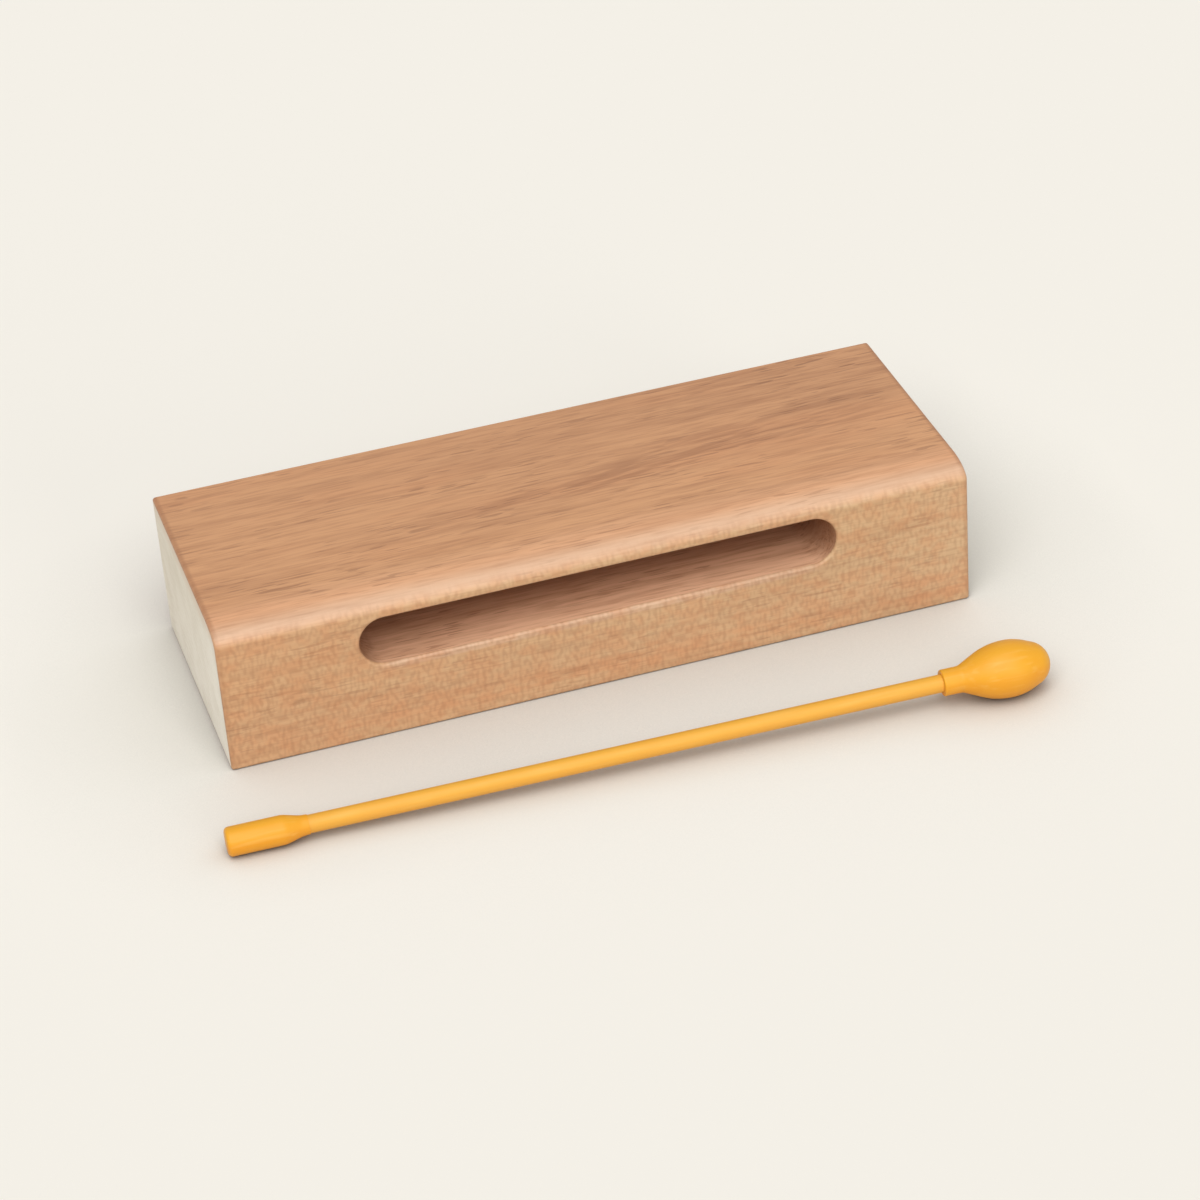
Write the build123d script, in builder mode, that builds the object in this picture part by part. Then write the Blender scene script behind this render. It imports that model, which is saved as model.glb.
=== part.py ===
"""Slotted wood block with its beater, in millimetres.

The block lies on Z = 0 with its length along X, its striking face up and its slot open towards -Y.
The origin is the middle of its underside. The beater lies on the same surface in front of the block,
resting on the rim of its grip and on its head.
"""

import os
from math import acos, asin, cos, degrees, radians, sin

from build123d import *

# Block: one length of planed hardwood
BLOCK_LENGTH = 190.0
BLOCK_DEPTH = 68.4
BLOCK_HEIGHT = 38.6
EDGE_ROUND = 0.8  # sanded round on every edge but the struck one
ROLL_DEPTH = 9.0  # the rolled striking edge, back from the front face
ROLL_DROP = 4.0  # the same edge, down from the striking face

# Slot: routed into the front with a straight cutter, so its ends are half round
SLOT_HEIGHT = 13.0
SLOT_END_WALL = 34.5  # wood left at each end of the slot
SLOT_BACK_WALL = 20.4  # wood left behind the slot
SLOT_LIP_ROUND = 0.8  # round along the mouth of the slot
SLOT_LAND = 0.6  # flat strip of the front between the slot's lip and the rolled edge

# Beater: a rod glued into a grip at one end and into an egg-shaped head at the other
BEATER_LENGTH = 202.0
BEATER_GAP = 32.3  # from the block's front face to the middle of the grip's end
BEATER_OVERHANG = 8.6  # how far the grip's end reaches past the block's end
BEATER_YAW = -2.9  # degrees, how far the beater is turned from the block's length
SHAFT_DIAMETER = 4.4
SHAFT_END_CHAMFER = 0.4
SOCKET_CLEARANCE = 0.05  # glue gap round the shaft in the grip and in the head

GRIP_LENGTH = 19.6
GRIP_WALL = 1.3  # wall of the barrel round the shaft
GRIP_END_WALL = 3.5  # solid end behind the shaft
GRIP_RIM_ROUND = 1.1
GRIP_SHOULDER = 5.4  # length of the taper from the barrel down to the mouth
GRIP_SHOULDER_ROUND = 5.0  # round where the barrel turns into the taper
GRIP_MOUTH_WALL = 0.35  # wall left round the shaft at the mouth

HEAD_DIAMETER = 14.0
HEAD_NOSE = 9.4  # from the widest place of the egg to its outer end
HEAD_TAIL = 13.1  # from the widest place back to the neck
HEAD_TIP_ROUND = 5.5  # radius of the outer end
HEAD_BELLY_SLOPE = 4.5  # degrees, the first gentle slope back from the widest place
HEAD_BELLY_LENGTH = 5.4  # length of that slope
HEAD_SHOULDER_ROUND = 12.0  # round between that slope and the steeper one down to the neck
HEAD_SOCKET_DEPTH = 16.0
NECK_WALL = 1.0  # wall of the neck round the shaft
NECK_LENGTH = 4.7  # from the neck's mouth to where the egg begins
NECK_RIM_CHAMFER = 0.4
NECK_BLEND = 2.5  # hollow round between the neck and the egg

# Places worked out from the sizes above
FRONT_Y = -BLOCK_DEPTH / 2
BACK_Y = BLOCK_DEPTH / 2
SLOT_LENGTH = BLOCK_LENGTH - 2 * SLOT_END_WALL
SLOT_DEPTH = BLOCK_DEPTH - SLOT_BACK_WALL
SLOT_ROOF = ROLL_DROP + SLOT_LAND + SLOT_LIP_ROUND  # the plate that rings when the block is struck
SLOT_MIDDLE_Z = BLOCK_HEIGHT - SLOT_ROOF - SLOT_HEIGHT / 2
SHAFT_RADIUS = SHAFT_DIAMETER / 2
SOCKET_RADIUS = SHAFT_RADIUS + SOCKET_CLEARANCE
GRIP_RADIUS = SOCKET_RADIUS + GRIP_WALL
GRIP_MOUTH_RADIUS = SOCKET_RADIUS + GRIP_MOUTH_WALL
NECK_RADIUS = SOCKET_RADIUS + NECK_WALL
HEAD_RADIUS = HEAD_DIAMETER / 2

# Places along the beater, from the outer end of its grip
SHAFT_START = GRIP_END_WALL
SHOULDER_START = GRIP_LENGTH - GRIP_SHOULDER
HEAD_MIDDLE = BEATER_LENGTH - HEAD_NOSE
TIP_MIDDLE = BEATER_LENGTH - HEAD_TIP_ROUND
NECK_ROOT = HEAD_MIDDLE - HEAD_TAIL
NECK_MOUTH = NECK_ROOT - NECK_LENGTH
SHAFT_END = NECK_MOUTH + HEAD_SOCKET_DEPTH

# Where the straight line that touches the balls at the egg's widest place and at its tip meets them
TIP_ANGLE = degrees(acos((HEAD_RADIUS - HEAD_TIP_ROUND) / (TIP_MIDDLE - HEAD_MIDDLE)))

PITCH_PASSES = 12  # substitutions, more than enough to settle the resting angle


def grip_reach(pitch):
    """How far the grip's rounded rim reaches below the axis, measured at the middle of that round."""
    return (GRIP_RADIUS - GRIP_RIM_ROUND) * cos(pitch) + GRIP_RIM_ROUND


def resting_pitch():
    """Angle at which the grip's rim and the head both touch the surface, by repeated substitution."""
    pitch = 0.0
    for _ in range(PITCH_PASSES):
        pitch = asin((HEAD_RADIUS - grip_reach(pitch)) / (HEAD_MIDDLE - GRIP_RIM_ROUND))
    return pitch


# The beater's own plane: X along the beater from the grip's end, Y away from its axis
yaw = radians(BEATER_YAW)
pitch = resting_pitch()
beater_start = Vector(
    -BLOCK_LENGTH / 2 - BEATER_OVERHANG,
    FRONT_Y - BEATER_GAP,
    grip_reach(pitch) - GRIP_RIM_ROUND * sin(pitch),
)
beater_direction = Vector(cos(yaw) * cos(pitch), sin(yaw) * cos(pitch), sin(pitch))
beater_plane = Plane(beater_start, x_dir=beater_direction, z_dir=(sin(yaw), -cos(yaw), 0))
beater_axis = Axis(beater_start, beater_direction)

os.makedirs("parts", exist_ok=True)


# Block: its end profile drawn out along X, with the striking edge rolled over as a quarter of an ellipse
with BuildPart() as block:
    with BuildSketch(Plane.YZ):
        with BuildLine():
            roll_middle = (FRONT_Y + ROLL_DEPTH, BLOCK_HEIGHT - ROLL_DROP)
            roll = EllipticalCenterArc(roll_middle, ROLL_DEPTH, ROLL_DROP, 90, arc_size=90)
            Polyline(
                roll @ 1,
                (FRONT_Y, 0),
                (BACK_Y, 0),
                (BACK_Y, BLOCK_HEIGHT),
                roll @ 0,
            )
        make_face()
    extrude(amount=BLOCK_LENGTH / 2, both=True)

    # The long edges at the top back and along the underside, and the outlines of both ends
    long_edges = block.edges().filter_by(Axis.X)
    top_back_edge = long_edges.group_by(Axis.Z)[-1].sort_by(Axis.Y)[-1]
    underside_edges = long_edges.group_by(Axis.Z)[0]
    end_outlines = block.faces().filter_by(Axis.X).edges()
    fillet([top_back_edge] + underside_edges + end_outlines, EDGE_ROUND)

    # The slot, with its mouth rounded over
    with BuildSketch(Plane.XZ.offset(-FRONT_Y)):
        with Locations((0, SLOT_MIDDLE_Z)):
            SlotOverall(SLOT_LENGTH, SLOT_HEIGHT)
    extrude(amount=-SLOT_DEPTH, mode=Mode.SUBTRACT)
    front_face = block.faces().filter_by(Axis.Y).sort_by(Axis.Y)[0]
    fillet(front_face.inner_wires().edges(), SLOT_LIP_ROUND)

block.part.label = "wood_block"
export_step(block.part, "parts/wood_block.step")


# Shaft: a plain rod whose ends sit in the grip and in the head
with BuildPart() as shaft:
    with BuildSketch(beater_plane) as shaft_half:
        with Locations((SHAFT_START, 0)):
            Rectangle(SHAFT_END - SHAFT_START, SHAFT_RADIUS, align=Align.MIN)
        outer_corners = shaft_half.vertices().group_by(Axis.Y)[-1]
        chamfer(outer_corners, SHAFT_END_CHAMFER)
    revolve(axis=beater_axis)

shaft.part.label = "beater_shaft"
export_step(shaft.part, "parts/beater_shaft.step")


# Grip: a barrel closed at its outer end, tapering to a thin mouth where the shaft goes in
with BuildPart() as grip:
    with BuildSketch(beater_plane) as grip_half:
        with BuildLine():
            Polyline(
                (0, 0),
                (0, GRIP_RADIUS),
                (SHOULDER_START, GRIP_RADIUS),
                (GRIP_LENGTH, GRIP_MOUTH_RADIUS),
                (GRIP_LENGTH, SOCKET_RADIUS),
                (SHAFT_START, SOCKET_RADIUS),
                (SHAFT_START, 0),
                close=True,
            )
        make_face()
        rim = grip_half.vertices().group_by(Axis.Y)[-1].sort_by(Axis.X)[0]
        fillet(rim, GRIP_RIM_ROUND)
        shoulder = grip_half.vertices().group_by(Axis.Y)[-1].sort_by(Axis.X)[-1]
        fillet(shoulder, GRIP_SHOULDER_ROUND)
    revolve(axis=beater_axis)

grip.part.label = "beater_grip"
export_step(grip.part, "parts/beater_grip.step")


# Head: an egg with its blunt end outwards, on a neck with a blind socket for the shaft
with BuildPart() as head:
    with BuildSketch(beater_plane) as head_half:
        with BuildLine():
            tip = CenterArc((TIP_MIDDLE, 0), HEAD_TIP_ROUND, 0, TIP_ANGLE)
            widest_turn = 90 + HEAD_BELLY_SLOPE - TIP_ANGLE
            widest = CenterArc((HEAD_MIDDLE, 0), HEAD_RADIUS, TIP_ANGLE, widest_turn)
            Line(tip @ 1, widest @ 0)
            belly = PolarLine(widest @ 1, HEAD_BELLY_LENGTH, 180 + HEAD_BELLY_SLOPE)
            Polyline(
                belly @ 1,
                (NECK_ROOT, NECK_RADIUS),
                (NECK_MOUTH, NECK_RADIUS),
                (NECK_MOUTH, SOCKET_RADIUS),
                (SHAFT_END, SOCKET_RADIUS),
                (SHAFT_END, 0),
                tip @ 0,
            )
        make_face()
        shoulder = head_half.vertices().sort_by_distance(belly @ 1)[0]
        fillet(shoulder, HEAD_SHOULDER_ROUND)
        neck_root = head_half.vertices().group_by(Axis.X)[1]
        fillet(neck_root, NECK_BLEND)
        neck_rim = head_half.vertices().group_by(Axis.X)[0].sort_by(Axis.Y)[-1]
        chamfer(neck_rim, NECK_RIM_CHAMFER)
    revolve(axis=beater_axis)

head.part.label = "beater_head"
export_step(head.part, "parts/beater_head.step")
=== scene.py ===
"""Looks of the wood block and its beater.

Models the block and the three pieces of its beater on the packed frame, gives them their finishes and sets
them on a plain pale stage. Every length is in metres, in the frame of the part's solids.
"""

import math
from typing import NamedTuple

import bmesh
import bpy
from bpy.props import FloatProperty, FloatVectorProperty, PointerProperty
from mathutils import Matrix, Vector


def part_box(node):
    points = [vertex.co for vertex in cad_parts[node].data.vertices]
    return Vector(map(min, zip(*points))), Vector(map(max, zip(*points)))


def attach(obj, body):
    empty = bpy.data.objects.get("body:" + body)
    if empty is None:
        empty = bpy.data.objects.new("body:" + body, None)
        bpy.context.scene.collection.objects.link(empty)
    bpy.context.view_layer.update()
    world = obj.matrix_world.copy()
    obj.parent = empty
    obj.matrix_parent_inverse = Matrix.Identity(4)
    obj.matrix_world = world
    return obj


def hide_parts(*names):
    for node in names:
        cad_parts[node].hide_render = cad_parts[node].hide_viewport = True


bl_info = {
    "name": "Wood block and beater",
    "version": (1, 0, 0),
    "blender": (4, 5, 0),
    "location": "View3D > Sidebar > Wood block",
    "description": "Models a slotted wood block with its beater and sets them on a plain stage",
    "category": "Object",
}

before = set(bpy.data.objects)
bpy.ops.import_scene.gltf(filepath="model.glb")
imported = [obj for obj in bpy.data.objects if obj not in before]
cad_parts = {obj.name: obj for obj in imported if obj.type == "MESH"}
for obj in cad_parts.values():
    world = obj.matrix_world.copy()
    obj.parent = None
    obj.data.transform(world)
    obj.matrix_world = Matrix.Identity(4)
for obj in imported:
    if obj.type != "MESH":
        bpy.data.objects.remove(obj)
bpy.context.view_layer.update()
BLOCK_LOW, BLOCK_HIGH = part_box("wood_block")

TOUCH = 1e-5  # how near two places are taken to be the same
MERGE = 1e-6  # how near two points of a mesh are made one

# How finely round shapes are cut
ROLL_STEPS = 28
SLOT_STEPS = 24
EASE_STEPS = 5
TURN_STEPS = 96
ARC_TURN = math.radians(12)  # most that an outline's arc turns from one point to the next
ARC_LENGTH = 0.00035  # longest step from one point of an arc to the next
ROUND_PROFILE = 0.5  # the profile that makes a bevel part of a circle
CREASE = math.radians(40)  # edges that bend more than this are shaded sharp

# The grip: its solid end, its thin walls round the shaft, and places back from its mouth
GRIP_END_WALL = 0.0035
GRIP_FOOT_WALL = 0.00023
GRIP_MOUTH_WALL = 0.00013
GRIP_SHOULDER = 0.0058  # where it begins to narrow
GRIP_FOOT = 0.0017  # where it has narrowed

# The head: places back from its outer end, and how far its corners lie from its widest radius
HEAD_FRONT = 0.0084  # corner between the outer end and the widest place
HEAD_MIDDLE = 0.0094  # the widest place, on which it rests
SOCKET_FLOOR = 0.0112
HEAD_BACK = 0.0154  # corner between the widest place and the neck
NECK_ROOT = 0.0225
NECK_MOUTH = 0.0272
HEAD_TIP_DROP = 0.0033
HEAD_FRONT_SWELL = 0.00024
HEAD_BACK_DROP = 0.00038

# Rounds of the corners in the beater's outlines
SHAFT_ROUND = 0.0004
GRIP_RIM_ROUND = 0.0011
GRIP_SHOULDER_ROUND = 0.005
GRIP_FOOT_ROUND = 0.006
NECK_MOUTH_ROUND = 0.0004
NECK_ROOT_ROUND = 0.0025
HEAD_BACK_ROUND = 0.017
HEAD_FRONT_ROUND = 0.014
HEAD_TIP_ROUND = 0.0055


class Pattern(NamedTuple):
    """A cloudy pattern in a finish"""

    along: float  # its size along X
    across: float  # its size across X
    shows: tuple = (0, 1)  # the noise at which it begins to show and at which it shows in full
    detail: float = 2  # how ragged it is
    distortion: float = 0  # how much it swirls


# The wood's patterns
DRIFT = Pattern(0.07, 0.016, shows=(0.45, 0.7))
PATCHES = Pattern(0.03, 0.003, shows=(0.4, 0.65))
STREAKS = Pattern(0.034, 0.0022, shows=(0.38, 0.75), detail=3, distortion=0.15)
FIBRES = Pattern(0.009, 0.00062, shows=(0.4, 0.75))
FLECKS = Pattern(0.0065, 0.00065, shows=(0.62, 0.7), detail=0)
FLECK_GROUPS = Pattern(0.026, 0.007, shows=(0.4, 0.62), detail=1)
RING_STROKES = Pattern(0.02, 0.0017, shows=(0.42, 0.6))
MOTTLE = Pattern(0.004, 0.003, shows=(0.35, 0.7))
RAYS = Pattern(0.0009, 0.0018, shows=(0.35, 0.75), detail=0)
END_CLOUDS = Pattern(0.02, 0.008, shows=(0.35, 0.75), detail=3)
END_PORES = Pattern(0.003, 0.0006, shows=(0.55, 0.72))

# The plastic's patterns
CLOUDS = Pattern(0.012, 0.006, shows=(0.4, 0.75))
FLOW = Pattern(0.016, 0.0012, shows=(0.5, 0.8))
SKIN = Pattern(0.0006, 0.0006)

NOISE_MEAN = 0.5  # about what the noise of a pattern is on average

# Depths of the relief in each finish, and the parts that fibres and flecks have in that of the grain
GRAIN_RELIEF = 0.00012
END_RELIEF = 0.0001
SKIN_RELIEF = 0.0001
FIBRES_RISE = 0.5
FLECKS_SINK = 0.6


def stretch(start, first, last):
    """Two places, given by how far they lie past a start."""
    return start + first, start + last


# Stretches over which the block's finishes change, from where a change begins to where it is complete
FRONT_FADE = stretch(BLOCK_LOW.y, 0.001, 0.006)  # from the front's tan to the striking face's brown
STRUCK_FADE = stretch(BLOCK_LOW.y, 0, 0.016)  # out of the painted highlight by the struck edge
EDGE_FADE = stretch(BLOCK_LOW.y, 0.0005, 0.007)  # out of the palest painted highlight on the struck edge
SLOT_SHADE_FADE = stretch(BLOCK_LOW.y, 0.01, 0.02)  # into the painted shade deep in the slot
ROLL_RISE = stretch(BLOCK_HIGH.z, -0.0037, -0.0009)  # up the rolled edge, into its painted highlight
RUBBED_RISE = stretch(BLOCK_HIGH.z, -0.006, -0.001)  # up the ends, to where their sealer is rubbed thin
RIM_FADE = stretch(BLOCK_HIGH.x, -0.0017, -0.0006)  # into the darker rounds of the ends
LIP_FADE = (0.0005, 0.0013)  # up and down from the painted highlight line on the slot's lower lip
LIP_END = 0.012  # how far from the slot's end that line begins to run out
BARE_END = 0.0008  # how far from the slot's end its darker end grain and painted shade show in full
FRONT_LEFT = (-0.1, 0.06)  # along the front, out of its redder left end
BACK_SPAN = (-0.008, 0.026)  # back over the striking face, into its darker half
BACK_LEFT = (-0.07, 0.01)  # along that half, out of its lighter left end
LIVELY_ALONG = (0, 0.05)  # along the striking face, into stronger grain at the right
LIVELY_BACK = (0, 0.02)  # back over the striking face, into the same
LOW_RISE = (-0.002, 0.006)  # up the faces, into a warm band near the underside
LOW_FALL = (0.004, 0.013)  # and out of it again
CORNER_RISE = (0, 0.042)  # up and back over the ends, into the painted shade of their upper back corner
CORNER_BACK = 0.6  # what a step back counts there, beside a step up

# How much weaker or stronger some of the wood's marks are in places
FRONT_CLOUDS_LESS = 0.25  # warm clouds, on the front
FRONT_GRAIN_LESS = 0.4  # grain, on the front
STRUCK_GRAIN_LESS = 0.25  # grain, by the struck edge
LIVELY_GRAIN_MORE = 0.4  # grain, at the back right of the striking face
FRONT_RIMS_LESS = 0.25  # darker rounds of the ends, on the front
BACK_LEFT_LEAST = 0.5  # share of the darker back half that its left end keeps
LOW_LEAST = 0.3  # share of the low band that shows between its patches
STROKES_LEAST = 0.2  # share of the ring figure that shows between its strokes

# The ring figure on the striking face
RING_MIDDLE = (0.024, -0.0007, 0)
RING_SLANT = math.radians(7.3)
RING_HALF_WIDTH = 0.0065
RING_OPENING = 0.045  # how much the half width grows along the figure
RING_WAVER = 0.007  # how far the figure wanders sideways
RING_SIDES = (0.2, 1.5)  # where it begins to fade and is gone, in half widths
RING_START = (-0.085, -0.015)  # along it from its middle, where it comes in
RING_FINISH = (0.04, 0.08)  # and where it runs out

# The growth rings on the ends, arcs about a heart that lay below the plank
HEART_DEPTH = 0.012
HEART_BELOW = 0.05
END_RING_WAVE = 2300  # radians a metre, which makes a ring every 2.7 mm
END_RING_WAVER = 0.004  # how far they wander
END_RING_CLOUDS = (0.3, 0.6)  # the noise of the ends' clouds at which they begin to show and show in full

# How high up the round of the beater's pieces the painted underside shade ends, from -1 at the bottom to 1
# on top
UNDERSIDE_SHADE = (0.1, 0.5)

# The stage
FLOOR_SIZE = 8
SHADE_SAMPLES = 4  # rays with which the floor feels how much of the sky is hidden
STANDING = (TOUCH, 10 * TOUCH)  # lengths of rays that start where something stands on the floor


def srgb(red, green, blue):
    """A colour as a picture shows it, from 0 to 255, in the linear values that shaders use."""
    shown = [channel / 255 for channel in (red, green, blue)]
    return tuple(c / 12.92 if c <= 0.04045 else ((c + 0.055) / 1.055) ** 2.4 for c in shown)


def metres(name, description, default):
    """A length property."""
    return FloatProperty(
        name=name, description=description, default=default, min=0, unit="LENGTH", precision=5
    )


def share(name, description, default):
    """A property for a share of the whole."""
    return FloatProperty(
        name=name, description=description, default=default, min=0, max=1, subtype="FACTOR"
    )


def brightness(name, description, default):
    """A property for the strength of a light."""
    return FloatProperty(name=name, description=description, default=default, min=0)


def angle(name, description, degrees):
    """An angle property, given in degrees."""
    return FloatProperty(
        name=name, description=description, default=math.radians(degrees), subtype="ANGLE"
    )


def tint(name, description, *shown):
    """A colour property, given as a picture shows it."""
    return FloatVectorProperty(
        name=name, description=description, default=srgb(*shown), size=3, min=0, max=1, subtype="COLOR"
    )


class BlockSizes(bpy.types.PropertyGroup):
    """Sizes of the block that its box doesn't give"""

    roll_depth: metres("Roll depth", "Rolled striking edge, back from the front face", 0.009)
    roll_drop: metres("Roll drop", "Rolled striking edge, down from the striking face", 0.004)
    edge_round: metres("Edge round", "Sanded round on every edge but the struck one", 0.0008)
    slot_length: metres("Slot length", "Slot from end to end, along the block", 0.121)
    slot_height: metres("Slot height", "Slot from its floor to its roof", 0.013)
    slot_depth: metres("Slot depth", "How far the slot goes in from the front face", 0.048)
    slot_roof: metres("Slot roof", "Wood left above the slot", 0.0054)
    lip_round: metres("Lip round", "Round along the mouth of the slot", 0.0008)


class BlockColours(bpy.types.PropertyGroup):
    """Colours of the block"""

    heart: tint("Heart", "Brown of the striking face", 206, 152, 108)
    sap: tint("Sap", "Yellower tan of the front", 209, 174, 133)
    # The next two colours are painted highlights: a broad brighter band towards the struck edge, and the
    # palest line on the rolled edge and on the slot's lower lip
    warm: tint("Warm", "Brighter wood near the struck edge", 226, 172, 132)
    painted_highlight: tint("Worn", "Palest wood, on the struck edge and the slot's lip", 211, 175, 145)
    late: tint("Late wood", "Darker streaks, figure and rounds of the ends", 151, 100, 66)
    blush: tint("Blush", "Warm tint in places on the faces", 206, 142, 97)
    # Also painted shade in the slot's ends and deep inside it
    pore_and_slot_shade: tint("Pore", "Short dark flecks and shaded end grain", 125, 80, 51)
    bare: tint("Bare", "Bare wood inside the slot", 222, 176, 142)
    end: tint("End", "Sealed end grain", 249, 242, 229)
    # Also painted shade at the upper back corner of the ends
    end_pore_and_shade: tint("End pore", "Specks, rings and dull areas of the end grain", 218, 207, 186)


class BlockFigure(bpy.types.PropertyGroup):
    """How strongly each mark of the wood shows"""

    clouds: share("Clouds", "Broad warm clouds on the faces", 0.4)
    front_left: share("Front left", "Redder tint towards the left end of the front", 0.4)
    back: share("Back", "Darker back half of the striking face", 0.2)
    low: share("Low", "Warm band near the underside", 0.5)
    # Painted highlight along the slot's lower lip
    lip: share("Lip", "Pale line on the slot's lower lip", 0.75)
    rings: share("Rings", "Slanting ring figure on the striking face", 0.6)
    streaks: share("Streaks", "Long soft streaks along the grain", 0.36)
    fibres: share("Fibres", "Fine lines along the grain", 0.36)
    flecks: share("Flecks", "Short dark flecks along the grain", 0.42)
    mottle: share("Mottle", "Soft warm mottle on the front", 0.36)
    rays: share("Rays", "Fine upright marks on the front", 0.27)
    rims: share("Rims", "Darker rounds of the ends", 0.5)
    # Painted shade in the slot: in its ends, over their darker end grain, and deep at its back
    slot_end_grain_and_shade: share("Slot ends", "Darker end grain in the ends of the slot", 0.5)
    slot_back_shade: share("Slot back", "Darker wood deep in the slot", 0.3)
    # Painted shade at the upper back corner of the ends
    end_corner_shade: share("End corner", "Duller upper back corner of the ends", 0.55)
    end_clouds: share("End clouds", "Dull clouds on the ends", 0.25)
    end_rings: share("End rings", "Growth rings on the ends", 0.2)
    end_pores: share("End pores", "Specks on the ends", 0.3)
    end_rubbed: share("End rubbed", "Wood through the thin sealer at the top of the ends", 0.22)


class BeaterSizes(bpy.types.PropertyGroup):
    """Sizes and place of the beater"""

    length: metres("Length", "Beater from end to end", 0.202)
    gap: metres("Gap", "From the block's front face to the middle of the grip's end", 0.0323)
    overhang: metres("Overhang", "How far the grip's end reaches past the block's end", 0.0086)
    yaw: angle("Yaw", "How far the beater is turned from the block's length", -2.9)
    shaft_radius: metres("Shaft radius", "Half the shaft's thickness", 0.0022)
    socket_radius: metres("Socket radius", "Half the width of the holes that the shaft sits in", 0.00225)
    grip_radius: metres("Grip radius", "Half the grip's thickness", 0.00355)
    grip_length: metres("Grip length", "Grip from its end to its mouth", 0.0196)
    head_radius: metres("Head radius", "Half the head's thickness at its widest place", 0.007)
    neck_radius: metres("Neck radius", "Half the thickness of the head's neck", 0.00325)


class BeaterColours(bpy.types.PropertyGroup):
    """Colours of the beater's plastic"""

    moulded: tint("Moulded", "Yellow of the grip and the head", 229, 163, 40)
    # The deeper colours give orange clouds and also painted shade on the undersides of the pieces
    deep: tint("Deep", "Orange clouds and undersides of the grip and the head", 229, 147, 26)
    drawn: tint("Drawn", "Yellow of the shaft", 227, 166, 58)
    drawn_clouds_and_shade: tint("Drawn deep", "Clouds and underside of the shaft", 227, 160, 60)
    pale: tint("Pale", "Faint paler streaks", 235, 181, 88)


class BeaterFigure(bpy.types.PropertyGroup):
    """How strongly each mark of the beater's plastic shows"""

    clouds: share("Clouds", "Deeper clouds", 0.3)
    # Painted shade on the undersides
    underside: share("Underside", "Deeper undersides", 0.45)
    flow: share("Flow", "Paler streaks along the beater", 0.4)


class StageLooks(bpy.types.PropertyGroup):
    """Camera, light and floor"""

    azimuth: angle("Azimuth", "Camera's direction round the object", -15.266)
    elevation: angle("Elevation", "Camera's height above the horizon", 32.940)
    roll: angle("Roll", "Camera's turn about its own line of sight", -4.482)
    distance: metres("Distance", "Camera from the point that it looks at", 0.97362)
    aim: FloatVectorProperty(
        name="Aim",
        description="Point that the camera looks at",
        default=(0.009258, 0.002225, 0),
        subtype="XYZ",
        unit="LENGTH",
        precision=5,
    )
    lens: FloatProperty(
        name="Lens", description="Focal length in millimetres", default=115.42, min=1, unit="CAMERA"
    )
    floor: tint("Floor", "Colour of the floor and the background", 243, 239, 230)
    shade_reach: metres("Shade reach", "How far the object's soft shade reaches over the floor", 0.06)
    shade_depth: share("Shade depth", "How dark that shade would be if it hid the whole sky", 0.68)
    sky: brightness("Sky", "Strength of the even light from all round", 0.28)
    overhead: brightness("Overhead", "Strength of the light from above", 0.32)
    overhead_elevation: angle("Overhead elevation", "Height of the light from above", 86)
    overhead_spread: angle("Overhead spread", "How wide the light from above looks", 24)
    front: brightness("Front", "Strength of the light from the front", 2.4)
    front_azimuth: angle("Front azimuth", "Direction of the light from the front", -20)
    front_elevation: angle("Front elevation", "Height of the light from the front", 52)
    front_spread: angle("Front spread", "How wide the light from the front looks", 56)
    fill: brightness("Fill", "Strength of the low light that fills the shadows", 0.35)
    fill_azimuth: angle("Fill azimuth", "Direction of the low light", 15)
    fill_elevation: angle("Fill elevation", "Height of the low light", 14)
    fill_spread: angle("Fill spread", "How wide the low light looks", 20)


def pick(piece, kind, wanted):
    """Selects in edit mode the edges or faces that wanted approves, and nothing else."""
    bpy.ops.mesh.select_all(action="DESELECT")
    bpy.ops.mesh.select_mode(type=kind)
    mesh = bmesh.from_edit_mesh(piece.data)
    for element in {"EDGE": mesh.edges, "FACE": mesh.faces}[kind]:
        if wanted(element):
            element.select_set(True)
    bmesh.update_edit_mesh(piece.data)


def near(a, b):
    """Whether two coordinates are the same place."""
    return abs(a - b) < TOUCH


def settle(name):
    """Names the new primitive and moves its place into its mesh, so that the object sits at the origin."""
    bpy.ops.object.transform_apply(location=True, rotation=True, scale=True)
    piece = bpy.context.object
    piece.name = name
    piece.data.name = name
    return piece


def activate(piece):
    """Makes a piece the only selected one."""
    bpy.ops.object.select_all(action="DESELECT")
    piece.select_set(True)
    bpy.context.view_layer.objects.active = piece


def round_over(radius, steps):
    """In edit mode, rounds the selected edges over."""
    bpy.ops.mesh.bevel(offset=radius, segments=steps, profile=ROUND_PROFILE, affect="EDGES")


def close_mesh():
    """In edit mode, merges points that fall together and turns every face outwards."""
    bpy.ops.mesh.select_all(action="SELECT")
    bpy.ops.mesh.remove_doubles(threshold=MERGE)
    bpy.ops.mesh.normals_make_consistent(inside=False)


def apply_modifier(piece, name, kind, **settings):
    """Adds a modifier with its settings and applies it."""
    modifier = piece.modifiers.new(name, kind)
    for setting, value in settings.items():
        setattr(modifier, setting, value)
    activate(piece)
    bpy.ops.object.modifier_apply(modifier=name)


def shade(piece):
    """Shades round stretches smooth and keeps flat faces flat up to their rounds."""
    activate(piece)
    bpy.ops.object.shade_smooth_by_angle(angle=CREASE)
    apply_modifier(piece, "Flat faces", "WEIGHTED_NORMAL", keep_sharp=True)


def place_piece(piece, body, node):
    """Ties a finished piece to the body that carries it and hides the solid that it stands for."""
    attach(piece, body)
    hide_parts(node)


def slot_heights(sizes):
    """Heights of the slot's floor and roof."""
    roof_z = BLOCK_HIGH.z - sizes.slot_roof
    return roof_z - sizes.slot_height, roof_z


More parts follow.
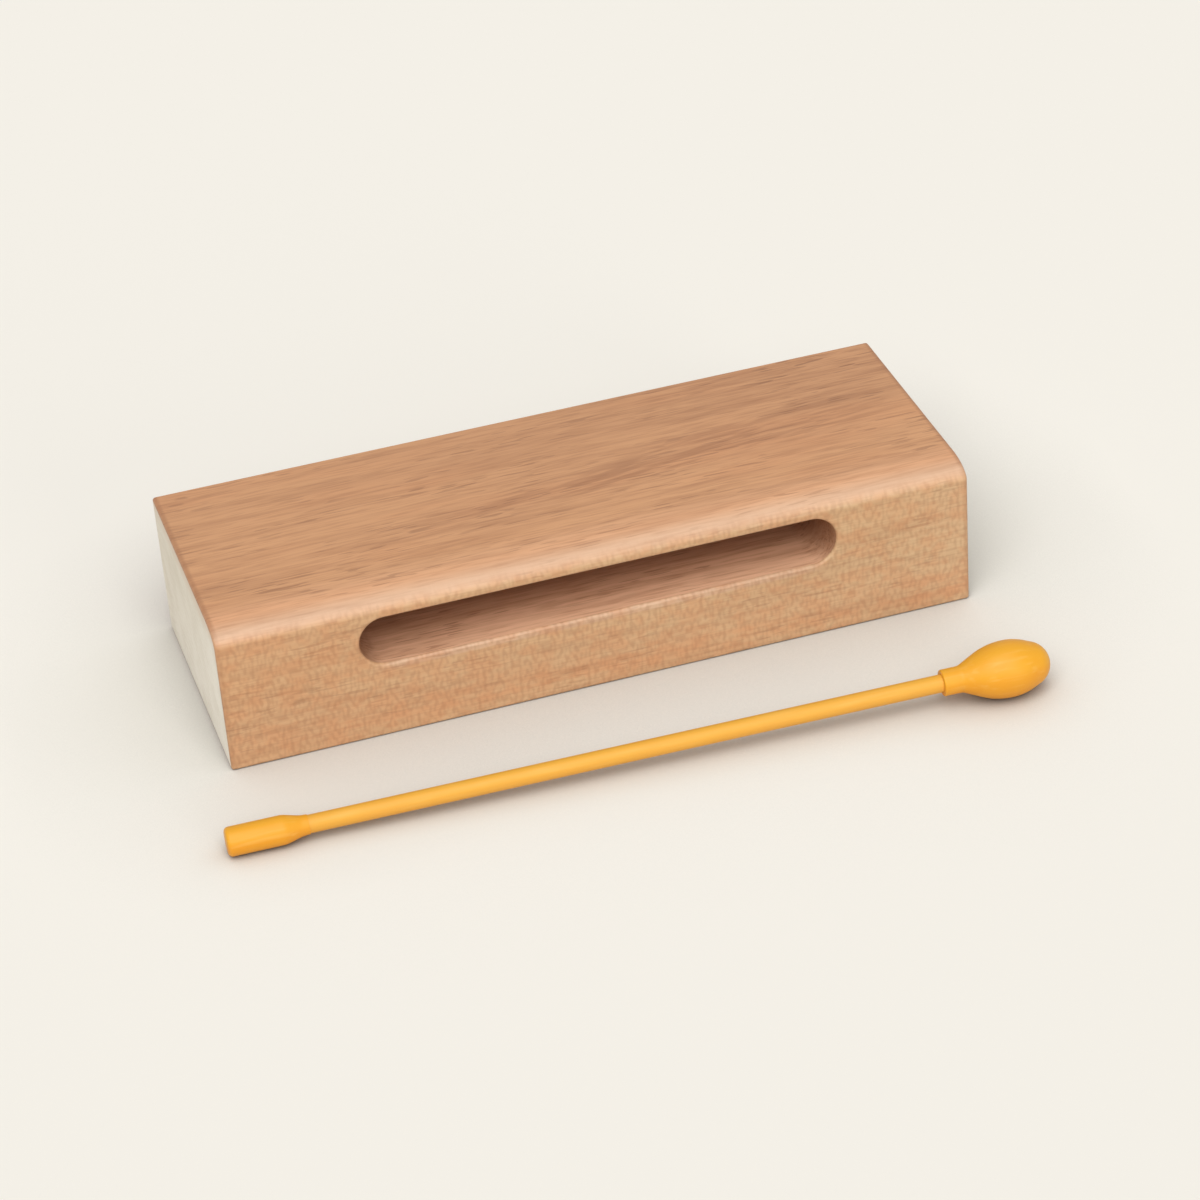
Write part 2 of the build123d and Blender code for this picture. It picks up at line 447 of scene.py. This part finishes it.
def add_plank(sizes):
    """Adds the plank squeezed in depth, bevels its striking edge round and stretches both back to size."""
    squeeze = sizes.roll_drop / sizes.roll_depth
    span = BLOCK_HIGH - BLOCK_LOW
    middle = (BLOCK_LOW + BLOCK_HIGH) / 2
    middle.y = BLOCK_LOW.y + squeeze * span.y / 2
    bpy.ops.object.select_all(action="DESELECT")
    bpy.ops.mesh.primitive_cube_add(size=1, location=middle, scale=(span.x, squeeze * span.y, span.z))
    plank = settle("carved_block")

    def struck(edge):
        return all(near(v.co.y, BLOCK_LOW.y) and near(v.co.z, BLOCK_HIGH.z) for v in edge.verts)

    bpy.ops.object.mode_set(mode="EDIT")
    pick(plank, "EDGE", struck)
    round_over(sizes.roll_drop, ROLL_STEPS)
    bpy.ops.mesh.select_all(action="SELECT")
    bpy.ops.transform.resize(value=(1, 1 / squeeze, 1), center_override=(0, BLOCK_LOW.y, 0))
    bpy.ops.object.mode_set(mode="OBJECT")
    return plank


def rout_slot(plank, sizes):
    """Cuts the slot with a cutter whose ends are half round, then rounds the mouth over."""
    floor_z, roof_z = slot_heights(sizes)
    half = sizes.slot_length / 2
    middle = (0, BLOCK_LOW.y, (roof_z + floor_z) / 2)
    span = (sizes.slot_length, 2 * sizes.slot_depth, sizes.slot_height)
    bpy.ops.object.select_all(action="DESELECT")
    bpy.ops.mesh.primitive_cube_add(size=1, location=middle, scale=span)
    cutter = settle("slot_cutter")

    def along_depth(edge):
        return not near(edge.verts[0].co.y, edge.verts[1].co.y)

    bpy.ops.object.mode_set(mode="EDIT")
    pick(cutter, "EDGE", along_depth)
    round_over(sizes.slot_height / 2, SLOT_STEPS)
    close_mesh()
    bpy.ops.object.mode_set(mode="OBJECT")
    apply_modifier(plank, "Slot", "BOOLEAN", object=cutter, operation="DIFFERENCE", solver="EXACT")
    bpy.data.meshes.remove(cutter.data)

    def on_mouth(edge):
        return all(
            near(v.co.y, BLOCK_LOW.y)
            and abs(v.co.x) < half + TOUCH
            and floor_z - TOUCH < v.co.z < roof_z + TOUCH
            for v in edge.verts
        )

    bpy.ops.object.mode_set(mode="EDIT")
    pick(plank, "EDGE", on_mouth)
    round_over(sizes.lip_round, EASE_STEPS)
    bpy.ops.object.mode_set(mode="OBJECT")


def ease_edges(plank, sizes):
    """Sands the outlines of both ends, the underside's edges and the top back edge round."""

    def outer(edge):
        a, b = (v.co for v in edge.verts)
        on_end = near(abs(a.x), BLOCK_HIGH.x) and near(a.x, b.x)
        on_back = near(a.y, BLOCK_HIGH.y) and near(b.y, BLOCK_HIGH.y)
        on_front = near(a.y, BLOCK_LOW.y) and near(b.y, BLOCK_LOW.y)
        on_top = near(a.z, BLOCK_HIGH.z) and near(b.z, BLOCK_HIGH.z)
        on_underside = near(a.z, BLOCK_LOW.z) and near(b.z, BLOCK_LOW.z)
        return on_end or (on_back and on_top) or (on_underside and (on_front or on_back))

    bpy.ops.object.mode_set(mode="EDIT")
    pick(plank, "EDGE", outer)
    round_over(sizes.edge_round, EASE_STEPS)
    close_mesh()
    bpy.ops.object.mode_set(mode="OBJECT")


def paint_block(plank, sizes, lacquered, bare, end_grain):
    """Gives the block its lacquered wood, the slot its bare wood and both end faces their end grain."""
    floor_z, roof_z = slot_heights(sizes)

    def in_slot(face):
        return all(
            v.co.y > BLOCK_LOW.y + sizes.lip_round - TOUCH
            and abs(v.co.x) < sizes.slot_length / 2 + TOUCH
            and floor_z - TOUCH < v.co.z < roof_z + TOUCH
            for v in face.verts
        )

    def on_end(face):
        return all(near(abs(v.co.x), BLOCK_HIGH.x) for v in face.verts)

    for material in (lacquered, bare, end_grain):
        plank.data.materials.append(material)
    activate(plank)
    bpy.ops.object.mode_set(mode="EDIT")
    for index, wanted in ((1, in_slot), (2, on_end)):
        pick(plank, "FACE", wanted)
        plank.active_material_index = index
        bpy.ops.object.material_slot_assign()
    bpy.ops.object.mode_set(mode="OBJECT")


def rounded(corners):
    """The outline through corners given as (along, out, round), with each round drawn as an arc."""
    points = []
    for index, (along, out, radius) in enumerate(corners):
        corner = Vector((along, out))
        if radius == 0:
            points.append(corner)
            continue
        # The arc touches the straight stretches before and after the corner
        before = (Vector(corners[index - 1][:2]) - corner).normalized()
        after = (Vector(corners[index + 1][:2]) - corner).normalized()
        half = before.angle(after) / 2
        middle = corner + (before + after).normalized() * (radius / math.sin(half))
        first = corner + before * (radius / math.tan(half)) - middle
        sweep = first.angle_signed(corner + after * (radius / math.tan(half)) - middle)
        steps = math.ceil(abs(sweep) * max(1 / ARC_TURN, radius / ARC_LENGTH))
        for step in range(steps + 1):
            points.append(middle + Matrix.Rotation(-sweep * step / steps, 2) @ first)
    return points


def beater_outlines(sizes):
    """Half the outline of each of the beater's pieces, as corners, under the name of its solid."""
    grip_mouth = sizes.grip_length
    neck_mouth = sizes.length - NECK_MOUTH
    shaft_end = sizes.length - SOCKET_FLOOR
    return {
        "beater_shaft": (
            (GRIP_END_WALL, 0, 0),
            (GRIP_END_WALL, sizes.shaft_radius, SHAFT_ROUND),
            (shaft_end, sizes.shaft_radius, SHAFT_ROUND),
            (shaft_end, 0, 0),
        ),
        "beater_grip": (
            (0, 0, 0),
            (0, sizes.grip_radius, GRIP_RIM_ROUND),
            (grip_mouth - GRIP_SHOULDER, sizes.grip_radius, GRIP_SHOULDER_ROUND),
            (grip_mouth - GRIP_FOOT, sizes.socket_radius + GRIP_FOOT_WALL, GRIP_FOOT_ROUND),
            (grip_mouth, sizes.socket_radius + GRIP_MOUTH_WALL, 0),
            (grip_mouth, sizes.socket_radius, 0),
            (GRIP_END_WALL, sizes.socket_radius, 0),
            (GRIP_END_WALL, 0, 0),
        ),
        "beater_head": (
            (shaft_end, 0, 0),
            (shaft_end, sizes.socket_radius, 0),
            (neck_mouth, sizes.socket_radius, 0),
            (neck_mouth, sizes.neck_radius, NECK_MOUTH_ROUND),
            (sizes.length - NECK_ROOT, sizes.neck_radius, NECK_ROOT_ROUND),
            (sizes.length - HEAD_BACK, sizes.head_radius - HEAD_BACK_DROP, HEAD_BACK_ROUND),
            (sizes.length - HEAD_FRONT, sizes.head_radius + HEAD_FRONT_SWELL, HEAD_FRONT_ROUND),
            (sizes.length, sizes.head_radius - HEAD_TIP_DROP, HEAD_TIP_ROUND),
            (sizes.length, 0, 0),
        ),
    }


def beater_line(sizes):
    """The grip's end and the beater's own axes, with X along it, as it rests on its rim and its head."""
    head_middle = sizes.length - HEAD_MIDDLE
    rim_radius = sizes.grip_radius - GRIP_RIM_ROUND
    # The line from the middle of the rim's round to the head's middle, and how it tilts from the axis
    lean = math.hypot(head_middle - GRIP_RIM_ROUND, rim_radius)
    tilt = math.atan2(rim_radius, head_middle - GRIP_RIM_ROUND)
    pitch = math.asin((sizes.head_radius - GRIP_RIM_ROUND) / lean) - tilt
    turned = Matrix.Rotation(sizes.yaw, 3, "Z") @ Matrix.Rotation(-pitch, 3, "Y")
    start = Vector((
        BLOCK_LOW.x - sizes.overhang,
        BLOCK_LOW.y - sizes.gap,
        sizes.head_radius - head_middle * math.sin(pitch),
    ))
    return start, turned


def turn_piece(name, outline, sizes):
    """Draws half an outline along the beater's axis point by point and spins it right round."""
    start, turned = beater_line(sizes)
    points = [start + turned @ Vector((point.x, 0, point.y)) for point in outline]
    bpy.ops.object.select_all(action="DESELECT")
    bpy.ops.mesh.primitive_plane_add(size=sizes.shaft_radius, location=points[0])
    piece = settle(name)
    bpy.ops.object.mode_set(mode="EDIT")
    bpy.ops.mesh.select_mode(type="VERT")
    bpy.ops.mesh.merge(type="CENTER")
    for before, after in zip(points, points[1:]):
        bpy.ops.mesh.extrude_vertices_move(TRANSFORM_OT_translate={"value": after - before})
    bpy.ops.mesh.select_all(action="SELECT")
    bpy.ops.mesh.spin(steps=TURN_STEPS, angle=2 * math.pi, center=start, axis=turned.col[0])
    close_mesh()
    bpy.ops.object.mode_set(mode="OBJECT")
    shade(piece)
    return piece


class Signal:
    """A node's output that Python can reckon with: each operation on it adds a Math node."""

    def __init__(self, finish, node, output):
        self.finish = finish
        self.node = node
        self.socket = node.outputs[output]

    def out(self, output):
        """Another output of the same node."""
        return Signal(self.finish, self.node, output)

    def maths(self, operation, *values):
        """A Math node on some values."""
        return self.finish.node("ShaderNodeMath", {"operation": operation}, dict(enumerate(values)))

    def __add__(self, other):
        return self.maths("ADD", self, other)

    def __sub__(self, other):
        return self.maths("SUBTRACT", self, other)

    def __rsub__(self, other):
        return self.maths("SUBTRACT", other, self)

    def __mul__(self, other):
        return self.maths("MULTIPLY", self, other)

    def __truediv__(self, other):
        return self.maths("DIVIDE", self, other)

    def __pow__(self, other):
        return self.maths("POWER", self, other)

    def __abs__(self):
        return self.maths("ABSOLUTE", self)

    def sine(self):
        """The sine, of an angle in radians."""
        return self.maths("SINE", self)

    __radd__ = __add__
    __rmul__ = __mul__


class Finish:
    """A node tree under construction, of a material or of the world."""

    def __init__(self, owner):
        owner.use_nodes = True
        self.owner = owner
        self.tree = owner.node_tree
        self.tree.nodes.clear()

    def node(self, kind, settings=None, sockets=None, output=0):
        """Adds a node with its settings and the values or links of its sockets, and gives one output."""
        node = self.tree.nodes.new(kind)
        for setting, value in (settings or {}).items():
            setattr(node, setting, value)
        for socket, value in (sockets or {}).items():
            if isinstance(value, Signal):
                self.tree.links.new(value.socket, node.inputs[socket])
            else:
                node.inputs[socket].default_value = value
        return Signal(self, node, output) if node.outputs else None

    def place(self):
        """The place on the surface, in the frame of the part's solids."""
        return self.node("ShaderNodeTexCoord", output="Object")

    def split(self, vector):
        """The X, Y and Z of a vector."""
        x = self.node("ShaderNodeSeparateXYZ", sockets={"Vector": vector}, output="X")
        return x, x.out("Y"), x.out("Z")

    def moved(self, vector, location, rotation):
        """Coordinates on axes that stand at a place and are turned."""
        sockets = {"Vector": vector, "Location": location, "Rotation": rotation}
        return self.node("ShaderNodeMapping", {"vector_type": "TEXTURE"}, sockets)

    def noise(self, vector, pattern):
        """The cloudy values of a pattern, about 0.5 on average."""
        sockets = {"Vector": vector, "Scale": (pattern.along, pattern.across, pattern.across)}
        drawn_out = self.node("ShaderNodeMapping", {"vector_type": "TEXTURE"}, sockets)
        return self.node("ShaderNodeTexNoise", sockets={
            "Vector": drawn_out,
            "Scale": 1,
            "Detail": pattern.detail,
            "Distortion": pattern.distortion,
        })

    def ease(self, value, low, high):
        """0 at low, 1 at high, and a soft step between them."""
        sockets = {"Value": value, "From Min": low, "From Max": high}
        return self.node("ShaderNodeMapRange", {"interpolation_type": "SMOOTHSTEP"}, sockets)

    def marks(self, vector, pattern):
        """How strongly a pattern shows, from 0 to 1."""
        return self.ease(self.noise(vector, pattern), *pattern.shows)

    def mix(self, factor, a, b):
        """Two colours mixed, each a signal or a colour's three numbers."""
        a, b = (value if isinstance(value, Signal) else colour(value) for value in (a, b))
        # The node repeats its sockets' names for each kind of data, so those for colours go by number
        return self.node("ShaderNodeMix", {"data_type": "RGBA"}, {0: factor, 6: a, 7: b}, output=2)

    def relief(self, height, strength, depth):
        """The surface's normal as a relief tilts it."""
        sockets = {"Strength": strength, "Distance": depth, "Height": height}
        return self.node("ShaderNodeBump", sockets=sockets)

    def surface(self, sockets):
        """Ends the material with a Principled shader that has these values and links, and gives it."""
        shader = self.node("ShaderNodeBsdfPrincipled", sockets=sockets)
        self.node("ShaderNodeOutputMaterial", sockets={"Surface": shader})
        return self.owner


def colour(value):
    """A colour's three numbers as a shader takes them."""
    return (*value, 1)


def raised(value, least):
    """What runs from least to 1 where a value runs from 0 to 1."""
    return least + value * (1 - least)


def tone_faces(finish, place, front, drift, colours, figure):
    """Tan on the front, redder towards its left end, and brown elsewhere, with warmer and darker areas."""
    along, depth, height = finish.split(place)
    redder = 1 - finish.ease(along, *FRONT_LEFT)
    tan = finish.mix(redder * figure.front_left, colours.sap, colours.heart)
    base = finish.mix(front, colours.heart, tan)
    clouds = finish.ease(drift, *DRIFT.shows) * (figure.clouds - front * FRONT_CLOUDS_LESS)
    base = finish.mix(clouds, base, colours.blush)
    back = finish.ease(depth, *BACK_SPAN) * raised(finish.ease(along, *BACK_LEFT), BACK_LEFT_LEAST)
    base = finish.mix(back * figure.back, base, colours.late)
    low = finish.ease(height, *LOW_RISE) - finish.ease(height, *LOW_FALL)
    low = low * raised(finish.marks(place, PATCHES), LOW_LEAST)
    return finish.mix(low * figure.low, base, colours.blush)


def paint_edge_highlights(finish, place, front, base, sizes, colours, figure):
    """Painted highlights: brighter towards the struck edge, palest on it and on the slot's lower lip.

    Gives the colour, and how near the struck edge a place lies.
    """
    along, depth, height = finish.split(place)
    rolled = finish.ease(height, *ROLL_RISE)
    struck = (1 - finish.ease(depth, *STRUCK_FADE)) * rolled
    # Painted highlight, brighter towards the struck edge
    base = finish.mix(struck, base, colours.warm)
    # Painted highlight, palest on the rolled edge
    edge = (1 - finish.ease(depth, *EDGE_FADE)) * rolled
    base = finish.mix(edge, base, colours.painted_highlight)
    half = sizes.slot_length / 2
    floor_z, _ = slot_heights(sizes)
    # Painted highlight, a pale line along the slot's lower lip
    lip = front * (1 - finish.ease(abs(height - (floor_z - sizes.lip_round)), *LIP_FADE))
    lip = lip * (1 - finish.ease(abs(along), half - LIP_END, half))
    return finish.mix(lip * figure.lip, base, colours.painted_highlight), struck


def add_rings(finish, place, drift, base, colours, figure):
    """Draws the ring figure that crosses the striking face at a slant and opens out to the right."""
    slanted = finish.moved(place, RING_MIDDLE, (0, 0, RING_SLANT))
    along, across, _ = finish.split(slanted)
    out = (across + (drift - NOISE_MEAN) * RING_WAVER) / (RING_HALF_WIDTH + along * RING_OPENING)
    band = (1 - finish.ease(abs(out), *RING_SIDES)) * finish.ease(along, *RING_START)
    band = band * (1 - finish.ease(along, *RING_FINISH))
    band = band * raised(finish.marks(slanted, RING_STROKES), STROKES_LEAST)
    return finish.mix(band * figure.rings, base, colours.late)


def add_grain(finish, place, base, colours, figure, vigour):
    """Draws streaks, fibres and dark flecks along X, and gives the colour, the fibres and the normal."""
    streaks = finish.marks(place, STREAKS)
    fibres = finish.noise(place, FIBRES)
    lines = finish.ease(fibres, *FIBRES.shows)
    flecks = finish.marks(place, FLECKS) * finish.marks(place, FLECK_GROUPS)
    base = finish.mix(streaks * vigour * figure.streaks, base, colours.late)
    base = finish.mix(lines * vigour * figure.fibres, base, colours.late)
    base = finish.mix(flecks * vigour * figure.flecks, base, colours.pore_and_slot_shade)
    height = fibres * FIBRES_RISE - flecks * FLECKS_SINK
    return base, fibres, finish.relief(height, strength=0.25, depth=GRAIN_RELIEF)


def add_rays(finish, place, flat, base, colours, figure):
    """Draws the wood's rays on the front, as a soft mottle and fine upright marks."""
    base = finish.mix(flat * finish.marks(place, MOTTLE) * figure.mottle, base, colours.blush)
    return finish.mix(flat * finish.marks(place, RAYS) * figure.rays, base, colours.late)


def lacquered_hardwood(sizes, colours, figure):
    """Close-grained tan hardwood with its grain along X, under satin lacquer."""
    finish = Finish(bpy.data.materials.new("Lacquered hardwood"))
    place = finish.place()
    along, depth, _ = finish.split(place)
    drift = finish.noise(place, DRIFT)
    front = 1 - finish.ease(depth, *FRONT_FADE)
    base = tone_faces(finish, place, front, drift, colours, figure)
    base, struck = paint_edge_highlights(finish, place, front, base, sizes, colours, figure)
    base = add_rings(finish, place, drift, base, colours, figure)

    # The grain is calmer on the front and the struck edge, and livelier at the back right of the top
    lively = finish.ease(along, *LIVELY_ALONG) * finish.ease(depth, *LIVELY_BACK)
    vigour = 1 - front * FRONT_GRAIN_LESS - struck * STRUCK_GRAIN_LESS + lively * LIVELY_GRAIN_MORE
    base, fibres, normal = add_grain(finish, place, base, colours, figure, vigour)
    base = add_rays(finish, place, front * (1 - struck), base, colours, figure)

    # End grain shows darker in the rounds of both ends
    rims = finish.ease(abs(along), *RIM_FADE) * (figure.rims - front * FRONT_RIMS_LESS)
    base = finish.mix(rims, base, colours.late)
    return finish.surface({
        "Base Color": base,
        "Roughness": 0.42 + fibres * 0.12,
        "Normal": normal,
        "Coat Weight": 0.3,
        "Coat Roughness": 0.3,
        "Specular IOR Level": 0.3,
    })


def bare_hardwood(sizes, colours, figure):
    """Bare wood in the slot, with painted shade deep down and in its ends over their darker end grain."""
    finish = Finish(bpy.data.materials.new("Bare hardwood"))
    place = finish.place()
    along, depth, _ = finish.split(place)
    half = sizes.slot_length / 2
    # The slot's ends: darker end grain, deepened with painted shade
    ends = finish.ease(abs(along), half - sizes.slot_height / 2, half - BARE_END)
    base = finish.mix(ends * figure.slot_end_grain_and_shade, colours.bare, colours.pore_and_slot_shade)
    # Painted shade deep in the slot
    deep = finish.ease(depth, *SLOT_SHADE_FADE)
    base = finish.mix(deep * figure.slot_back_shade, base, colours.pore_and_slot_shade)
    base, fibres, normal = add_grain(finish, place, base, colours, figure, vigour=1)
    return finish.surface({
        "Base Color": base,
        "Roughness": 0.5 + fibres * 0.15,
        "Normal": normal,
        "Specular IOR Level": 0.25,
    })


def sealed_end_grain(colours, figure):
    """Pale sealed end grain with clouds and fine pores, and painted shade at its upper back corner."""
    finish = Finish(bpy.data.materials.new("Sealed end grain"))
    place = finish.place()
    _, depth, height = finish.split(place)
    clouds = finish.noise(place, END_CLOUDS)
    pores = finish.noise(place, END_PORES)
    # Painted shade at the upper back corner of the ends, added to the dull clouds
    corner = finish.ease(depth * CORNER_BACK + height, *CORNER_RISE) * figure.end_corner_shade
    dull = corner + finish.ease(clouds, *END_CLOUDS.shows) * figure.end_clouds
    base = finish.mix(dull, colours.end, colours.end_pore_and_shade)

    # Growth rings show faintly through the sealer
    up = height + HEART_BELOW
    across = depth - HEART_DEPTH
    reach = (across * across + up * up) ** 0.5 + (clouds - NOISE_MEAN) * END_RING_WAVER
    rings = finish.ease((reach * END_RING_WAVE).sine(), 0, 1) * finish.ease(clouds, *END_RING_CLOUDS)
    base = finish.mix(rings * figure.end_rings, base, colours.end_pore_and_shade)
    base = finish.mix(finish.ease(pores, *END_PORES.shows) * figure.end_pores, base, colours.end_pore_and_shade)

    # The sealer is rubbed thin along the striking face
    base = finish.mix(finish.ease(height, *RUBBED_RISE) * figure.end_rubbed, base, colours.heart)
    return finish.surface({
        "Base Color": base,
        "Roughness": 0.5 + pores * 0.15,
        "Normal": finish.relief(pores, strength=0.2, depth=END_RELIEF),
    })


def beater_plastic(name, sizes, colours, figure, main, deep):
    """Yellow plastic with faint clouds and flow streaks along the beater, and painted shade on its
    underside.
    """
    finish = Finish(bpy.data.materials.new(name))
    start, turned = beater_line(sizes)
    place = finish.moved(finish.place(), start, turned.to_euler())
    _, side, up = finish.split(place)
    lift = up / (side * side + up * up) ** 0.5  # from -1 underneath to 1 on top, as every piece is round
    clouds = finish.noise(place, CLOUDS)
    # Painted shade: the underside is mixed towards the deeper orange
    underside = (1 - finish.ease(lift, *UNDERSIDE_SHADE)) * figure.underside
    tone = finish.ease(clouds, *CLOUDS.shows) * figure.clouds + underside
    base = finish.mix(tone, main, deep)
    base = finish.mix(finish.marks(place, FLOW) * figure.flow, base, colours.pale)
    return finish.surface({
        "Base Color": base,
        "Roughness": 0.38 + clouds * 0.14,
        "Normal": finish.relief(finish.noise(place, SKIN), strength=0.12, depth=SKIN_RELIEF),
        "Specular IOR Level": 0.35,
    })


def floor_paper(looks):
    """Matt pale floor that can't be seen from below and doesn't hide what stands on it from there."""
    finish = Finish(bpy.data.materials.new("Pale floor"))
    behind = finish.node("ShaderNodeNewGeometry", output="Backfacing")
    travelled = finish.node("ShaderNodeLightPath", output="Ray Length")
    below = behind + 1 - finish.ease(travelled, *STANDING)
    reach = {"Distance": looks.shade_reach}
    open_sky = finish.node("ShaderNodeAmbientOcclusion", {"samples": SHADE_SAMPLES}, reach, "AO")
    shaded = [channel * (1 - looks.shade_depth) for channel in looks.floor]
    tone = finish.mix(open_sky, shaded, looks.floor)
    paper = finish.node("ShaderNodeBsdfDiffuse", sockets={"Color": tone})
    clear = finish.node("ShaderNodeBsdfTransparent")
    seen = finish.node("ShaderNodeMixShader", sockets={0: below, 1: paper, 2: clear})
    finish.node("ShaderNodeOutputMaterial", sockets={"Surface": seen})
    return finish.owner


def light_sky(looks):
    """Even light from all round, which the camera and reflections see as the floor's own colour."""
    world = bpy.data.worlds.new("Pale surroundings")
    bpy.context.scene.world = world
    finish = Finish(world)
    ray = finish.node("ShaderNodeLightPath", output="Is Camera Ray")
    seen = ray + ray.out("Is Glossy Ray") + ray.out("Is Transmission Ray")
    light = finish.node("ShaderNodeBackground", sockets={"Color": (1, 1, 1, 1), "Strength": looks.sky})
    paper = finish.node("ShaderNodeBackground", sockets={"Color": colour(looks.floor), "Strength": 1})
    shown = finish.node("ShaderNodeMixShader", sockets={0: seen, 1: light, 2: paper})
    finish.node("ShaderNodeOutputWorld", sockets={"Surface": shown})


def sight(azimuth, elevation, roll=0):
    """Axes of a camera or lamp that looks at the object from a direction: right, up and back."""
    back = Vector((
        math.sin(azimuth) * math.cos(elevation),
        -math.cos(azimuth) * math.cos(elevation),
        math.sin(elevation),
    ))
    right = Vector((math.cos(azimuth), math.sin(azimuth), 0))
    upright = Matrix((right, back.cross(right), back)).transposed()
    return upright @ Matrix.Rotation(roll, 3, "Z")


def add_light(name, azimuth, elevation, strength, spread):
    """Adds an even light from one direction, wide enough for soft shadows."""
    axes = sight(azimuth, elevation)
    bpy.ops.object.light_add(type="SUN", location=axes.col[2], rotation=axes.to_euler())
    light = bpy.context.object
    light.name = name
    light.data.energy = strength
    light.data.angle = spread


class WOODBLOCK_OT_carve_block(bpy.types.Operator):
    """Carve the block: a plank with a rolled striking edge, a routed slot and sanded edges"""

    bl_idname = "woodblock.carve_block"
    bl_label = "Carve block"

    def execute(self, context):
        sizes = context.scene.block_sizes
        colours = context.scene.block_colours
        figure = context.scene.block_figure
        plank = add_plank(sizes)
        rout_slot(plank, sizes)
        ease_edges(plank, sizes)
        lacquered = lacquered_hardwood(sizes, colours, figure)
        bare = bare_hardwood(sizes, colours, figure)
        paint_block(plank, sizes, lacquered, bare, sealed_end_grain(colours, figure))
        shade(plank)
        place_piece(plank, "block", "wood_block")
        return {"FINISHED"}


class WOODBLOCK_OT_turn_beater(bpy.types.Operator):
    """Turn the beater's three pieces: its shaft, its grip and its egg-shaped head"""

    bl_idname = "woodblock.turn_beater"
    bl_label = "Turn beater"

    def execute(self, context):
        sizes = context.scene.beater_sizes
        colours = context.scene.beater_colours
        figure = context.scene.beater_figure
        moulded = beater_plastic("Moulded plastic", sizes, colours, figure, colours.moulded, colours.deep)
        drawn = beater_plastic("Drawn plastic", sizes, colours, figure, colours.drawn, colours.drawn_clouds_and_shade)
        for node, corners in beater_outlines(sizes).items():
            piece = turn_piece("turned_" + node, rounded(corners), sizes)
            piece.data.materials.append(drawn if node == "beater_shaft" else moulded)
            place_piece(piece, "beater", node)
        return {"FINISHED"}


class WOODBLOCK_OT_set_stage(bpy.types.Operator):
    """Set the stage: a pale floor, soft light and the camera"""

    bl_idname = "woodblock.set_stage"
    bl_label = "Set stage"

    def execute(self, context):
        scene = context.scene
        looks = scene.stage_looks
        scene.view_settings.view_transform = "Standard"
        bpy.ops.object.select_all(action="DESELECT")
        bpy.ops.mesh.primitive_plane_add(size=FLOOR_SIZE)
        floor = settle("stage_floor")
        floor.data.materials.append(floor_paper(looks))
        light_sky(looks)
        add_light("overhead_light", 0, looks.overhead_elevation, looks.overhead, looks.overhead_spread)
        add_light(
            "front_light", looks.front_azimuth, looks.front_elevation, looks.front, looks.front_spread
        )
        add_light("fill_light", looks.fill_azimuth, looks.fill_elevation, looks.fill, looks.fill_spread)
        axes = sight(looks.azimuth, looks.elevation, looks.roll)
        eye = Vector(looks.aim) + axes.col[2] * looks.distance
        bpy.ops.object.camera_add(location=eye, rotation=axes.to_euler())
        scene.camera = context.object
        scene.camera.data.lens = looks.lens
        return {"FINISHED"}


class VIEW3D_PT_woodblock(bpy.types.Panel):
    """Sidebar panel with the steps in order and the sizes, colours and strengths that they use"""

    bl_label = "Wood block"
    bl_space_type = "VIEW_3D"
    bl_region_type = "UI"
    bl_category = "Wood block"

    def draw(self, context):
        for step in STEPS:
            self.layout.operator(step.bl_idname)
        for name, group in GROUPS.items():
            box = self.layout.box()
            box.label(text=group.__doc__)
            for key in group.__annotations__:
                box.prop(getattr(context.scene, name), key)


GROUPS = {
    "block_sizes": BlockSizes,
    "block_colours": BlockColours,
    "block_figure": BlockFigure,
    "beater_sizes": BeaterSizes,
    "beater_colours": BeaterColours,
    "beater_figure": BeaterFigure,
    "stage_looks": StageLooks,
}
STEPS = (WOODBLOCK_OT_carve_block, WOODBLOCK_OT_turn_beater, WOODBLOCK_OT_set_stage)
CLASSES = (*GROUPS.values(), *STEPS, VIEW3D_PT_woodblock)


def register():
    """Registers the classes and hangs the groups of properties on the scene."""
    for cls in CLASSES:
        bpy.utils.register_class(cls)
    for name, group in GROUPS.items():
        setattr(bpy.types.Scene, name, PointerProperty(type=group))


def unregister():
    """Undoes register."""
    for name in GROUPS:
        delattr(bpy.types.Scene, name)
    for cls in reversed(CLASSES):
        bpy.utils.unregister_class(cls)


def main():
    """Runs the steps in order."""
    register()
    bpy.ops.woodblock.carve_block()
    bpy.ops.woodblock.turn_beater()
    bpy.ops.woodblock.set_stage()
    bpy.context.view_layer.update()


if __name__ == "__main__":
    main()
